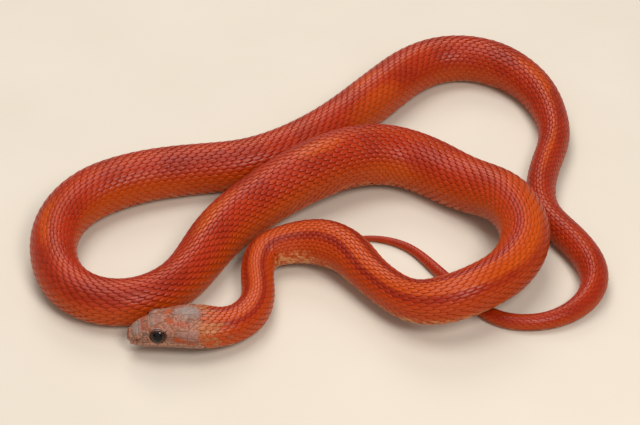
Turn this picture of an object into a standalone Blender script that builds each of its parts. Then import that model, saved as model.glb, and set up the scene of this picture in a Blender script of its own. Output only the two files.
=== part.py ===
"""A life-size corn snake lying in loose loops, one closed solid for each named length of it."""
import math

import bmesh
import bpy
import numpy as np
from mathutils import Vector

MM = 0.001
GAP = 0.3                    # clear space between neighbouring solids, mm
TAIL_TIP = 616.0             # length along the back, mm
HEAD_END = 22.6              # the back of the head on the same scale
JAW_END = 18.6               # the corner of the mouth
RING_STEP = 3.1              # spacing of the sections along the body
BODY_SIDES = 20
HEAD_STEP = 0.8
HEAD_SIDES = 28
BOX_MIDDLE = (-0.1, 0.1)    # middle of the outline in the route's own millimetres

# The back seen from above, from the snout to the tip of the tail, in mm.
ROUTE = [
    (-43.6, -54.0), (-36.5, -53.2), (-28, -52), (-20.8, -50.5), (-15.8, -45.8), (-14, -38.5),
    (-14.3, -31), (-12.5, -25.6), (-7.5, -23.2), (0, -23.2), (6, -26.6), (11, -33.2), (16.5, -40.2),
    (22.9, -45.5), (29.8, -46.1), (37.8, -42.5), (45, -35.4), (49, -26.2), (48.2, -17.3), (44.4, -9.8),
    (36.8, -2.6), (27.8, 4.9), (18.5, 8.3), (9.5, 6.8), (0.5, 2), (-9, -4.4), (-18.2, -12.4), (-24.5, -20.9),
    (-29.1, -30.2), (-34.6, -38.1), (-42.4, -42.6), (-51.1, -42.4), (-58.4, -37.3), (-62.6, -28),
    (-62.9, -17.8), (-59, -8.4), (-50.9, -1.3), (-40.2, 3.2), (-29, 5.5), (-18, 8), (-8, 13.4),
    (0.4, 19.7), (9.1, 28.5), (16.9, 38), (24.4, 46.6), (32.7, 51.5), (40.9, 52), (48.8, 48.5), (55.5, 41.4),
    (59.5, 31), (60, 20.5), (57.2, 10.1), (55.2, 0.6), (55.8, -9.1), (60.2, -17.5), (64.4, -26),
    (65.1, -34.5), (60.2, -42.3), (51, -46.3), (42, -44.8), (35.8, -38.4), (31.2, -31.7), (26.6, -24.8),
    (21.7, -18.9), (15, -15.6), (7.5, -15.4), (1, -17),
]
# Half width of the body at distances from the snout.
GIRTH = [
    (0, 6.2), (22, 5.4), (33, 4.1), (45, 4.0), (55, 4.8), (66, 5.9), (74, 5.4), (82, 4.8), (90, 4.8),
    (102, 5.8), (118, 5.8), (135, 6.1), (150, 6.7), (168, 7.3), (186, 7.8), (208, 7.5), (228, 6.9),
    (250, 5.8), (265, 5.7), (295, 5.7), (320, 6.7), (345, 6.5), (370, 6.1), (400, 6.5), (426, 6.3),
    (442, 6.0), (456, 5.1), (467, 4.3), (477, 4.0), (495, 3.8), (515, 4.0), (527, 3.8), (538, 2.9),
    (550, 2.15), (565, 1.9), (585, 1.45), (600, 1.0), (612, 0.55), (620, 0.2),
]
# How far the belly is off the floor: middle of the rise, its reach and its height.
LIFTS = [(8, 26, 2.4), (54, 16, 1.2), (78, 26, 2.3), (112, 34, 4.3), (143, 26, 4.0), (200, 30, 2.2)]
ROUNDNESS = 0.95             # height of a section against its width
WIDEST_LEVEL = 0.97          # the body is widest at this share of its half height
BELLY_FLAT = 0.07            # how much of a section's half height is pressed flat
BACK_SHAPE, BELLY_SHAPE = 2.0, 2.1    # exponents of the two halves of a body section
THINNEST = 0.15              # half width at the very tip of the tail

# The head by distance from the snout: half width, crown, widest level and underside.
HEAD_WIDTH = [(0, 1.4), (0.6, 2.3), (2, 3.15), (4, 3.75), (6, 4.15), (8, 4.5), (10, 4.95), (12, 5.4),
              (14, 5.8), (16, 6.0), (18, 5.9), (20, 5.5), (23, 4.9), (27, 4.35), (33, 4.1), (45, 4.0)]
HEAD_TOP = [(0, 3.4), (0.6, 4.45), (2, 5.55), (4, 6.4), (6, 7.0), (8, 7.4), (10, 7.65), (12, 7.75),
            (15, 7.65), (22, 7.5), (33, 7.6), (45, 7.6)]
HEAD_MIDDLE = [(0, 2.6), (2, 2.9), (6, 3.2), (10, 3.4), (16, 3.7), (22, 3.8), (33, 3.8), (45, 3.8)]
HEAD_UNDER = [(0, 2.0), (0.6, 1.5), (2, 1.05), (4, 0.6), (7, 0.2), (10, 0), (45, 0)]
MOUTH = [(-3, 2.2), (0, 2.2), (2, 2.1), (5, 2.0), (9, 2.1), (13, 2.45), (17, 3.1), (22, 3.9)]
CROWN_SHAPE = 2.7            # exponent of the upper half of a head section
JAW_SHAPE = 2.4
NAPE = (26, 14)              # the head's section turns into the body's from here, over this length
SNOUT_CAPS = (0.45, 0.8, 0.95)    # sizes of the rings that close the snout
SNOUT_BULGE = 0.5            # how far those rings reach, in head steps
MOUTH_FRONT = -3.0           # the cut for the mouth starts before the snout
CUT_WIDTH, CUT_TOP, CUT_BOTTOM = 9.0, 12.0, -6.0

EYE_AT = 6.9                 # distance of the eye from the snout
EYE_LEVEL = 4.85             # above the underside of the head
EYE_RADIUS = 1.95
EYE_DEPTH = 1.55             # half thickness of the eyeball's solid
EYE_PROUD = 0.65             # how far it stands out of the cheek
EYE_UP = math.radians(14)
EYE_FORWARD = math.radians(12)
NOSTRIL_AT = 1.9
NOSTRIL_LEVEL = 3.3
NOSTRIL_RADIUS = 0.36

PLATE_RISE = 0.16            # how far a head shield stands proud
PLATE_ROOT = 0.4             # how deep it is sunk into the head
SUTURE = 0.12                # half of the groove between two shields
LONG_EDGE = 2.2              # a shield's edge gets a middle point from this length on
ROSTRAL_SIZE = (0.95, 0.75)   # radius and depth of the shield on the tip of the snout
ROSTRAL_AT, ROSTRAL_LEVEL = 0.45, 3.15

# Lengths of the body: name, number of solids, and where the last one ends.
LENGTHS = [("neck", 3, 56), ("front_body", 4, 130), ("middle_body", 6, 262),
           ("rear_body", 9, 462), ("tail", 8, TAIL_TIP)]


def natural_spline(points, samples):
    """A smooth curve through the points, with no bend at its two ends."""
    p = np.array(points, float)
    knots = np.r_[0, np.cumsum(np.hypot(*np.diff(p, axis=0).T))]
    span = np.diff(knots)
    count = len(p)
    system = np.eye(count)
    right = np.zeros((count, 2))
    for i in range(1, count - 1):
        system[i, i - 1:i + 2] = span[i - 1], 2 * (span[i - 1] + span[i]), span[i]
        right[i] = 6 * ((p[i + 1] - p[i]) / span[i] - (p[i] - p[i - 1]) / span[i - 1])
    bend = np.linalg.solve(system, right)
    u = np.linspace(0, knots[-1], samples)
    k = np.clip(np.searchsorted(knots, u, "right") - 1, 0, count - 2)
    a = ((knots[k + 1] - u) / span[k])[:, None]
    b = 1 - a
    curve = a * p[k] + b * p[k + 1]
    return curve + ((a ** 3 - a) * bend[k] + (b ** 3 - b) * bend[k + 1]) * span[k][:, None] ** 2 / 6


BACK = natural_spline(ROUTE, 4000) - np.array(BOX_MIDDLE)
BACK_AT = np.r_[0, np.cumsum(np.hypot(*np.diff(BACK, axis=0).T))]
BACK_AT *= TAIL_TIP / BACK_AT[-1]


def smoothed(stations, reach):
    """A function of the distance from the snout, with the stations' corners rounded off."""
    step = 0.25
    at = np.arange(-reach, TAIL_TIP + reach + step, step)
    x, y = np.array(stations, float).T
    values = np.interp(at, x, y)
    values[at < x[0]] = y[0] + (at[at < x[0]] - x[0]) * (y[1] - y[0]) / (x[1] - x[0])
    window = np.hanning(2 * int(reach / step) + 1)
    even = np.convolve(values, window / window.sum(), "same")
    return lambda s: np.interp(s, at, even)


body_width = smoothed(GIRTH, 6.0)
head_width = smoothed(HEAD_WIDTH, 0.8)
head_top = smoothed(HEAD_TOP, 0.8)
head_middle = smoothed(HEAD_MIDDLE, 1.0)
head_under = smoothed(HEAD_UNDER, 0.8)
mouth_level = smoothed(MOUTH, 2.0)


def lift(s):
    total = np.zeros_like(s, dtype=float)
    for middle, reach, height in LIFTS:
        near = np.clip(np.abs(s - middle) / reach, 0, 1)
        total += height * 0.5 * (1 + np.cos(np.pi * near))
    return total


def signed_power(value, exponent):
    return np.sign(value) * np.abs(value) ** exponent


def section(s, turn):
    """Place to the right and height on the skin: turn 0 is the right side, 90 degrees the back."""
    s, turn = np.broadcast_arrays(np.asarray(s, float), np.asarray(turn, float))
    body = np.clip((s - NAPE[0]) / NAPE[1], 0, 1)
    body = body * body * (3 - 2 * body)
    head = 1 - body
    half = np.maximum(body_width(s), THINNEST)
    width = head * head_width(s) + body * half
    top = head * head_top(s) + body * 2 * ROUNDNESS * half
    middle = head * head_middle(s) + body * WIDEST_LEVEL * ROUNDNESS * half
    under = head * head_under(s)
    sink = BELLY_FLAT * ROUNDNESS * half
    upper = 2 / (head * CROWN_SHAPE + body * BACK_SHAPE)
    lower = 2 / (head * JAW_SHAPE + body * BELLY_SHAPE)
    sine = np.sin(turn)
    side = np.cos(turn)
    shape = np.where(sine > 0, upper, lower)
    v = width * signed_power(side, shape)
    rise = np.where(sine > 0, top - middle, middle - under + sink)
    z = middle + rise * signed_power(sine, shape)
    return v, np.maximum(z, under) + lift(s)


def place(s, v, z):
    """World position, in mm, of a point given along the back, to the snake's right, and up."""
    s = np.asarray(s, float)
    near = np.clip(s, 0.3, TAIL_TIP - 0.3)
    x, y = (np.interp(near, BACK_AT, BACK[:, k]) for k in (0, 1))
    dx, dy = (np.interp(near + 0.3, BACK_AT, BACK[:, k]) - np.interp(near - 0.3, BACK_AT, BACK[:, k])
              for k in (0, 1))
    size = np.hypot(dx, dy)
    dx, dy = dx / size, dy / size
    along = s - near
    return np.stack([x + along * dx - v * dy, y + along * dy + v * dx, z + 0 * x], axis=-1)


def make_object(name, points, faces, collection):
    mesh = bpy.data.meshes.new(name)
    mesh.from_pydata([tuple(p) for p in np.asarray(points) * MM], [], faces)
    mesh.update()
    obj = bpy.data.objects.new(name, mesh)
    collection.objects.link(obj)
    return obj


def loft(name, rings, collection):
    """A closed solid through rings with the same number of points."""
    count = len(rings[0])
    faces = [tuple(range(count - 1, -1, -1))]
    for r in range(len(rings) - 1):
        low, high = r * count, (r + 1) * count
        for k in range(count):
            nxt = (k + 1) % count
            faces.append((low + k, low + nxt, high + nxt, high + k))
    faces.append(tuple(range((len(rings) - 1) * count, len(rings) * count)))
    return make_object(name, np.concatenate(rings), faces, collection)


def ring(s, sides):
    """One section; its two lowest points lie level, so that the belly has a flat."""
    turn = np.radians(-90) + (np.arange(sides) + 0.5) * 2 * np.pi / sides
    v, z = section(s, turn)
    return place(np.full(sides, s), v, z)


def length_of_body(name, start, end, collection):
    stations = np.linspace(start, end, max(2, round((end - start) / RING_STEP) + 1))
    return loft(name, [ring(s, BODY_SIDES) for s in stations], collection)


def head_blank(collection):
    """The whole head with its lower jaw, rounded off at the snout."""
    stations = np.arange(HEAD_STEP, HEAD_END - HEAD_STEP / 2, HEAD_STEP)
    rings = []
    nose = ring(0.0, HEAD_SIDES)
    tip = nose.mean(axis=0)
    back = place(HEAD_STEP, 0, 0) - place(0.0, 0, 0)
    for size in SNOUT_CAPS:
        rings.append(tip + (nose - tip) * size + back * SNOUT_BULGE * (size ** 4 - 0.5))
    rings += [ring(s, HEAD_SIDES) for s in [*stations, HEAD_END]]
    return loft("head", rings, collection)


def cut_solid(target, cutter, operation="DIFFERENCE"):
    modifier = target.modifiers.new("cut", "BOOLEAN")
    modifier.operation = operation
    modifier.object = cutter
    apply_modifiers(target)
    keep_largest_surface(target)


def apply_modifiers(obj):
    graph = bpy.context.evaluated_depsgraph_get()
    mesh = bpy.data.meshes.new_from_object(obj.evaluated_get(graph))
    obj.modifiers.clear()
    old = obj.data
    obj.data = mesh
    mesh.name = obj.name
    bpy.data.meshes.remove(old)


def mouth_block(name, back, shift, above, cutters):
    """A block above or below the line of the mouth, reaching from before the snout."""
    stations = np.linspace(MOUTH_FRONT, back, 16)
    far = CUT_TOP if above else CUT_BOTTOM
    rings = []
    for s in stations:
        edge = float(mouth_level(s) + lift(s)) + shift
        low, high = min(edge, far), max(edge, far)
        corners = [(-CUT_WIDTH, low), (CUT_WIDTH, low), (CUT_WIDTH, high), (-CUT_WIDTH, high)]
        rings.append(np.array([place(s, v, z) for v, z in corners]))
    return loft(name, rings, cutters)


def cheek_at(s, level):
    """How far the cheek is from the middle of the head at one height."""
    v, z = section(s, np.linspace(0, np.pi / 2, 200))
    return float(v[np.argmin(np.abs(z - level - lift(s)))])


def eye_frame(side):
    """Middle of an eye and the way that it looks; side is 1 on the snake's right, else -1."""
    depth = cheek_at(EYE_AT, EYE_LEVEL) + EYE_PROUD - EYE_DEPTH
    middle = place(EYE_AT, side * depth, EYE_LEVEL + lift(EYE_AT))
    ahead = place(EYE_AT - 1, 0, 0) - place(EYE_AT, 0, 0)
    out = place(EYE_AT, side, 0) - place(EYE_AT, 0, 0)
    look = out * math.cos(EYE_FORWARD) + ahead * math.sin(EYE_FORWARD)
    look = look * math.cos(EYE_UP) + np.array([0, 0, 1]) * math.sin(EYE_UP)
    return middle, look / np.linalg.norm(look)


def ball(name, middle, look, radius, depth, collection):
    """A flattened ball whose short axis points the way that the eye looks."""
    turn = Vector(look).to_track_quat("Z", "Y").to_matrix()
    bpy.ops.mesh.primitive_uv_sphere_add(segments=20, ring_count=12, radius=1)
    obj = bpy.context.active_object
    obj.name = obj.data.name = name
    for vertex in obj.data.vertices:
        local = Vector((vertex.co.x * radius, vertex.co.y * radius, vertex.co.z * depth))
        vertex.co = (turn @ local + Vector(middle)) * MM
    for owner in list(obj.users_collection):
        owner.objects.unlink(obj)
    collection.objects.link(obj)
    return obj


def on_head(s, turn, proud):
    """A point over the head's surface, by distance from the snout and turn in degrees."""
    s = np.asarray(s, float)
    turn = np.radians(np.asarray(turn, float))
    small = 0.02
    here = place(s, *section(s, turn))
    along = place(s + small, *section(s + small, turn)) - here
    around = place(s, *section(s, turn + small)) - here
    normal = np.cross(around, along)
    normal /= np.linalg.norm(normal, axis=-1, keepdims=True)
    return here + normal * proud


def plate(name, outline, collection):
    """A head shield: its outline in distance and turn, raised with a sunk root and a low dome."""
    corners = np.array(outline, float)
    edge = []
    for first, second in zip(corners, np.roll(corners, -1, axis=0)):
        ends = on_head(*np.transpose([first, second]), 0)
        edge += [first, (first + second) / 2] if math.dist(*ends) > LONG_EDGE else [first]
    edge = np.array(edge)
    middle = edge.mean(axis=0)
    hub = on_head(middle[0], middle[1], PLATE_RISE * 1.3)
    root_hub = on_head(middle[0], middle[1], -PLATE_ROOT)
    rims = []
    for proud, inset in ((PLATE_RISE, SUTURE * 1.5), (-PLATE_ROOT, SUTURE)):
        rim = on_head(edge[:, 0], edge[:, 1], proud)
        inward = hub - rim
        rim = rim + inward / np.linalg.norm(inward, axis=1, keepdims=True) * inset
        rims.append(rim)
    count = len(edge)
    points = np.concatenate([[hub], *rims, [root_hub]])
    faces = []
    for k in range(count):
        nxt = (k + 1) % count
        faces.append((0, 1 + k, 1 + nxt))
        faces.append((1 + k, 1 + count + k, 1 + count + nxt, 1 + nxt))
        faces.append((1 + 2 * count, 1 + count + nxt, 1 + count + k))
    obj = make_object(name, points, faces, collection)
    solid = bmesh.new()
    solid.from_mesh(obj.data)
    bmesh.ops.recalc_face_normals(solid, faces=solid.faces)
    if solid.calc_volume(signed=True) < 0:
        bmesh.ops.reverse_faces(solid, faces=solid.faces)
    solid.to_mesh(obj.data)
    solid.free()
    return obj


def mirrored(outline):
    return [(s, 180 - turn) for s, turn in outline]


# Shields of the crown and cheek on one side: distance from the snout, turn in degrees.
FRONTAL = [(5.4, 118), (5.4, 62), (7.1, 66), (9.3, 68), (10.7, 90), (9.3, 112), (7.1, 114)]
PAIRED_SHIELDS = {
    "internasal": [(0.95, 89), (1.0, 56), (1.5, 44), (2.4, 46), (2.6, 89)],
    "prefrontal": [(2.7, 89), (2.5, 46), (3.4, 32), (4.7, 34), (5.3, 48), (5.3, 89)],
    "supraocular": [(5.5, 60), (5.5, 46), (6.7, 41), (8.4, 41), (9.6, 46), (9.4, 66), (7.1, 64)],
    "parietal": [(10.8, 89), (9.5, 67), (9.8, 48), (11.6, 44), (14.0, 52), (16.4, 74), (16.6, 89)],
    "nasal": [(1.1, 44), (1.1, 8), (3.1, 10), (3.1, 38), (2.4, 43), (1.5, 41)],
    "loreal": [(3.3, 31), (3.3, 10), (4.3, 10), (4.4, 32)],
    "preocular": [(4.55, 33), (4.5, 8), (5.1, 12), (5.1, 40)],
    "upper_postocular": [(9.7, 44), (9.2, 36), (9.2, 22), (10.6, 23), (11.0, 42)],
    "lower_postocular": [(9.2, 20), (9.0, 8), (10.4, 6), (10.7, 20)],
    "upper_temporal": [(10.9, 22), (11.2, 42), (11.6, 43), (13.7, 48), (14.1, 24)],
    "lower_temporal": [(10.7, 5), (10.9, 20), (14.1, 22), (14.3, 4)],
    "rear_temporal": [(14.3, 25), (14.1, 50), (16.2, 66), (17.1, 40), (16.9, 22)],
}
UPPER_LIP_EDGES = [1.0, 1.9, 3.2, 4.7, 6.4, 8.3, 10.5, 12.8, 15.2]
UPPER_LIP_TOP = [7, 5, 8, 6, 3, 3, 4, 2, 0]
LOWER_LIP_EDGES = [0.8, 2.2, 3.8, 5.6, 7.6, 9.8, 12.2, 14.8, 17.4]
LOWER_LIP_REACH = 26         # degrees down from the mouth
LIP_MARGIN = 0.25            # the lips' shields stop this short of the mouth's middle line


def lip_turn(s, above):
    """Turn of the mouth's edge on the lip, in degrees."""
    turn = np.radians(np.linspace(-89, 30, 240))
    z = section(s, turn)[1]
    level = float(mouth_level(s) + lift(s)) + (LIP_MARGIN if above else -LIP_MARGIN)
    return float(np.degrees(turn[np.argmin(np.abs(z - level))]))


def lip_plates(prefix, edges, far, above, collection):
    """The row of shields along one lip, on both sides."""
    for k, (front, back) in enumerate(zip(edges, edges[1:])):
        inner = [(front, lip_turn(front, above)), (back, lip_turn(back, above))]
        outer = [(back, far[k + 1]), (front, far[k])]
        outline = inner + outer
        plate(f"{prefix}_{k}_a", outline, collection)
        plate(f"{prefix}_{k}_b", mirrored(outline), collection)


def keep_largest_surface(obj):
    """Drops loose scraps and sealed hollows that a cut or a union leaves."""
    solid = bmesh.new()
    solid.from_mesh(obj.data)
    left = set(solid.faces)
    shells = []
    while left:
        shell = [left.pop()]
        for face in shell:
            near = {other for edge in face.edges for other in edge.link_faces if other in left}
            left -= near
            shell += near
        shells.append(shell)
    shells.sort(key=len)
    for shell in shells[:-1]:
        bmesh.ops.delete(solid, geom=shell, context="FACES")
    solid.to_mesh(obj.data)
    solid.free()


def join_plates(target, plates):
    modifier = target.modifiers.new("plates", "BOOLEAN")
    modifier.operation = "UNION"
    modifier.operand_type = "COLLECTION"
    modifier.collection = plates
    apply_modifiers(target)
    keep_largest_surface(target)
    for obj in list(plates.objects):
        bpy.data.objects.remove(obj)


def finish_material(obj, name, colour, roughness):
    material = bpy.data.materials.new(name)
    material.use_nodes = True
    shader = material.node_tree.nodes["Principled BSDF"]
    shader.inputs["Base Color"].default_value = (*colour, 1)
    shader.inputs["Roughness"].default_value = roughness
    material.diffuse_color = (*colour, 1)
    obj.data.materials.clear()
    obj.data.materials.append(material)
    obj.data.shade_smooth()
    obj.data.set_sharp_from_angle(angle=math.radians(40))


def new_collection(name):
    collection = bpy.data.collections.new(name)
    bpy.context.scene.collection.children.link(collection)
    return collection


def build_head(snake, cutters):
    head = head_blank(snake)
    jaw = head.copy()
    jaw.data = head.data.copy()
    jaw.name = jaw.data.name = "lower_jaw"
    snake.objects.link(jaw)
    cut_solid(head, mouth_block("mouth_below", JAW_END + GAP / 2, GAP / 2, False, cutters))
    cut_solid(jaw, mouth_block("jaw_keep", JAW_END - GAP / 2, -GAP / 2, False, cutters), "INTERSECT")
    plates = new_collection("plates")
    tip = place(ROSTRAL_AT, 0, ROSTRAL_LEVEL + lift(0.0))
    ball("rostral", tip, place(0, 0, 0) - place(1, 0, 0), *ROSTRAL_SIZE, plates)
    plate("frontal", FRONTAL, plates)
    for name, outline in PAIRED_SHIELDS.items():
        plate(name + "_a", outline, plates)
        plate(name + "_b", mirrored(outline), plates)
    lip_plates("upper_lip", UPPER_LIP_EDGES, UPPER_LIP_TOP, True, plates)
    join_plates(head, plates)
    far = [lip_turn(s, False) - LOWER_LIP_REACH for s in LOWER_LIP_EDGES]
    lip_plates("lower_lip", LOWER_LIP_EDGES, far, False, plates)
    join_plates(jaw, plates)
    for side, name in ((1, "right"), (-1, "left")):
        middle, look = eye_frame(side)
        socket = ball("socket_" + name, middle, look, EYE_RADIUS + GAP, EYE_DEPTH + GAP, cutters)
        cut_solid(head, socket)
        eye = ball("eye_" + name, middle, look, EYE_RADIUS, EYE_DEPTH, snake)
        finish_material(eye, "eye_" + name, (0.01, 0.009, 0.008), 0.08)
        out = side * (cheek_at(NOSTRIL_AT, NOSTRIL_LEVEL) + PLATE_RISE)
        opening = place(NOSTRIL_AT, out, NOSTRIL_LEVEL + lift(NOSTRIL_AT))
        pit = ball("nostril_" + name, opening, look, NOSTRIL_RADIUS, NOSTRIL_RADIUS, cutters)
        cut_solid(head, pit)
    finish_material(head, "head", (0.32, 0.17, 0.12), 0.4)
    finish_material(jaw, "lower_jaw", (0.55, 0.40, 0.33), 0.45)


def build_body(snake):
    start = HEAD_END + GAP
    for name, count, end in LENGTHS:
        edges = np.linspace(start, end, count + 1)
        for k in range(count):
            last = edges[k + 1] == TAIL_TIP
            stop = edges[k + 1] - (0 if last else GAP / 2)
            begin = edges[k] + (0 if k == 0 else GAP / 2)
            node = f"{name}_{k + 1}"
            obj = length_of_body(node, begin, stop, snake)
            finish_material(obj, node, (0.42, 0.06, 0.02), 0.4)
        start = end + GAP / 2


def build():
    for obj in list(bpy.data.objects):
        bpy.data.objects.remove(obj)
    snake = new_collection("corn_snake")
    cutters = new_collection("cutters")
    build_head(snake, cutters)
    build_body(snake)
    for obj in cutters.objects:
        obj.hide_render = True
        obj.display_type = "WIRE"


build()
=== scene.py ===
import math

import bpy
import numpy as np
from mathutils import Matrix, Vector


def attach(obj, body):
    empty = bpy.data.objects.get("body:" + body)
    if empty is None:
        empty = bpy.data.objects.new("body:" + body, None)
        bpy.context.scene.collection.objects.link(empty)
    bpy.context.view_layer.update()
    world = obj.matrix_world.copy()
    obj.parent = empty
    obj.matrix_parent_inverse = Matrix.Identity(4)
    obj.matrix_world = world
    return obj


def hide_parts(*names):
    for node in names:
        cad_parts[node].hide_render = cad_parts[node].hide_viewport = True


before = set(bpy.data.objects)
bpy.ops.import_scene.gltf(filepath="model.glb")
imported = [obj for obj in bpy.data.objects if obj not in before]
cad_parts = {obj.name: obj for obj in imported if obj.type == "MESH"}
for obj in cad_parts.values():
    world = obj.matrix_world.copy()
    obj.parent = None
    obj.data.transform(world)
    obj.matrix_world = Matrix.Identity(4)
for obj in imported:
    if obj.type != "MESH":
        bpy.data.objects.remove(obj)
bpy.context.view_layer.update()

MM = 0.001                   # lengths below are in mm, and in metres once they are in a mesh
TAIL_TIP = 616.0             # length along the back, mm
BOX_MIDDLE = (-0.1, 0.1)     # middle of the outline in the route's own millimetres
FLESH = sorted(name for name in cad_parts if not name.startswith("eye"))

# The back seen from above, from the snout to the tip of the tail, in mm.
ROUTE = [
    (-43.6, -54.0), (-36.5, -53.2), (-28, -52), (-20.8, -50.5), (-15.8, -45.8), (-14, -38.5),
    (-14.3, -31), (-12.5, -25.6), (-7.5, -23.2), (0, -23.2), (6, -26.6), (11, -33.2), (16.5, -40.2),
    (22.9, -45.5), (29.8, -46.1), (37.8, -42.5), (45, -35.4), (49, -26.2), (48.2, -17.3), (44.4, -9.8),
    (36.8, -2.6), (27.8, 4.9), (18.5, 8.3), (9.5, 6.8), (0.5, 2), (-9, -4.4), (-18.2, -12.4), (-24.5, -20.9),
    (-29.1, -30.2), (-34.6, -38.1), (-42.4, -42.6), (-51.1, -42.4), (-58.4, -37.3), (-62.6, -28),
    (-62.9, -17.8), (-59, -8.4), (-50.9, -1.3), (-40.2, 3.2), (-29, 5.5), (-18, 8), (-8, 13.4),
    (0.4, 19.7), (9.1, 28.5), (16.9, 38), (24.4, 46.6), (32.7, 51.5), (40.9, 52), (48.8, 48.5), (55.5, 41.4),
    (59.5, 31), (60, 20.5), (57.2, 10.1), (55.2, 0.6), (55.8, -9.1), (60.2, -17.5), (64.4, -26),
    (65.1, -34.5), (60.2, -42.3), (51, -46.3), (42, -44.8), (35.8, -38.4), (31.2, -31.7), (26.6, -24.8),
    (21.7, -18.9), (15, -15.6), (7.5, -15.4), (1, -17),
]
# Half width of the body at distances from the snout.
GIRTH = [
    (0, 6.2), (22, 5.4), (33, 4.1), (45, 4.0), (55, 4.8), (66, 5.9), (74, 5.4), (82, 4.8), (90, 4.8),
    (102, 5.8), (118, 5.8), (135, 6.1), (150, 6.7), (168, 7.3), (186, 7.8), (208, 7.5), (228, 6.9),
    (250, 5.8), (265, 5.7), (295, 5.7), (320, 6.7), (345, 6.5), (370, 6.1), (400, 6.5), (426, 6.3),
    (442, 6.0), (456, 5.1), (467, 4.3), (477, 4.0), (495, 3.8), (515, 4.0), (527, 3.8), (538, 2.9),
    (550, 2.15), (565, 1.9), (585, 1.45), (600, 1.0), (612, 0.55), (620, 0.2),
]
# How far the belly is off the floor: middle of the rise, its reach and its height.
LIFTS = [(8, 26, 2.4), (54, 16, 1.2), (78, 26, 2.3), (112, 34, 4.3), (143, 26, 4.0), (200, 30, 2.2)]
ROUNDNESS = 0.95             # height of a section against its width
WIDEST_LEVEL = 0.97          # the body is widest at this share of its half height
BELLY_FLAT = 0.07            # how much of a section's half height is pressed flat
BACK_SHAPE, BELLY_SHAPE = 2.0, 2.1    # exponents of the two halves of a body section
THINNEST = 0.15              # half width at the very tip of the tail
LIES_IN = 0.11               # the level of the coat lies this far inside that form

# The head by distance from the snout: half width, crown, widest level and underside.
HEAD_WIDTH = [(0, 1.4), (0.6, 2.3), (2, 3.15), (4, 3.75), (6, 4.15), (8, 4.5), (10, 4.95), (12, 5.4),
              (14, 5.8), (16, 6.0), (18, 5.9), (20, 5.5), (23, 4.9), (27, 4.35), (33, 4.1), (45, 4.0)]
HEAD_TOP = [(0, 3.4), (0.6, 4.45), (2, 5.55), (4, 6.4), (6, 7.0), (8, 7.4), (10, 7.65), (12, 7.75),
            (15, 7.65), (22, 7.5), (33, 7.6), (45, 7.6)]
HEAD_MIDDLE = [(0, 2.6), (2, 2.9), (6, 3.2), (10, 3.4), (16, 3.7), (22, 3.8), (33, 3.8), (45, 3.8)]
HEAD_UNDER = [(0, 2.0), (0.6, 1.5), (2, 1.05), (4, 0.6), (7, 0.2), (10, 0), (45, 0)]
MOUTH = [(-3, 2.2), (0, 2.2), (2, 2.1), (5, 2.0), (9, 2.1), (13, 2.45), (17, 3.1), (22, 3.9)]
CROWN_SHAPE, JAW_SHAPE = 2.7, 2.4    # exponents of the two halves of a head section
NAPE = (26, 14)              # the head's section turns into the body's from here, over this length
NOSE = (-0.28, 0.9)          # the snout is rounded off between these two stations

EYE_AT = 6.9                 # distance of the eye from the snout
EYE_LEVEL = 4.85             # above the underside of the head
EYE_RADIUS = 1.95
EYE_DEPTH = 1.55             # half thickness of the eyeball
EYE_PROUD = 0.65             # how far it stands out of the cheek
EYE_UP = math.radians(14)
EYE_FORWARD = math.radians(12)
NOSTRIL_AT, NOSTRIL_LEVEL = 1.9, 3.5

# The camera of the photograph: what it looks at, how steeply it looks down and from how far.
CAMERA_TARGET = (0.6, -4.6, 0.0)
CAMERA_RISE = math.radians(40)
CAMERA_DISTANCE = 560.0
PIXEL_PITCH = 0.247          # mm on the object for one pixel at that distance
PICTURE_WIDTH = 640
SENSOR_WIDTH = 36


def natural_spline(points, samples):
    """A smooth curve through the points, with no bend at its two ends."""
    p = np.array(points, float)
    knots = np.r_[0, np.cumsum(np.hypot(*np.diff(p, axis=0).T))]
    span = np.diff(knots)
    count = len(p)
    system = np.eye(count)
    right = np.zeros((count, 2))
    for i in range(1, count - 1):
        system[i, i - 1:i + 2] = span[i - 1], 2 * (span[i - 1] + span[i]), span[i]
        right[i] = 6 * ((p[i + 1] - p[i]) / span[i] - (p[i] - p[i - 1]) / span[i - 1])
    bend = np.linalg.solve(system, right)
    u = np.linspace(0, knots[-1], samples)
    k = np.clip(np.searchsorted(knots, u, "right") - 1, 0, count - 2)
    a = ((knots[k + 1] - u) / span[k])[:, None]
    b = 1 - a
    curve = a * p[k] + b * p[k + 1]
    return curve + ((a ** 3 - a) * bend[k] + (b ** 3 - b) * bend[k + 1]) * span[k][:, None] ** 2 / 6


BACK = natural_spline(ROUTE, 4000) - np.array(BOX_MIDDLE)
BACK_AT = np.r_[0, np.cumsum(np.hypot(*np.diff(BACK, axis=0).T))]
BACK_AT *= TAIL_TIP / BACK_AT[-1]


def smoothed(stations, reach):
    """A function of the distance from the snout, with the stations' corners rounded off."""
    step = 0.25
    at = np.arange(-reach, TAIL_TIP + reach + step, step)
    x, y = np.array(stations, float).T
    values = np.interp(at, x, y)
    values[at < x[0]] = y[0] + (at[at < x[0]] - x[0]) * (y[1] - y[0]) / (x[1] - x[0])
    window = np.hanning(2 * int(reach / step) + 1)
    even = np.convolve(values, window / window.sum(), "same")
    return lambda s: np.interp(s, at, even)


body_width = smoothed(GIRTH, 6.0)
head_width = smoothed(HEAD_WIDTH, 0.8)
head_top = smoothed(HEAD_TOP, 0.8)
head_middle = smoothed(HEAD_MIDDLE, 1.0)
head_under = smoothed(HEAD_UNDER, 0.8)
mouth_level = smoothed(MOUTH, 2.0)


def lift(s):
    total = np.zeros_like(s, dtype=float)
    for middle, reach, height in LIFTS:
        near = np.clip(np.abs(s - middle) / reach, 0, 1)
        total += height * 0.5 * (1 + np.cos(np.pi * near))
    return total


def signed_power(value, exponent):
    return np.sign(value) * np.abs(value) ** exponent


def smoothstep(low, high, value):
    x = np.clip((value - low) / (high - low), 0, 1)
    return x * x * (3 - 2 * x)


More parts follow.
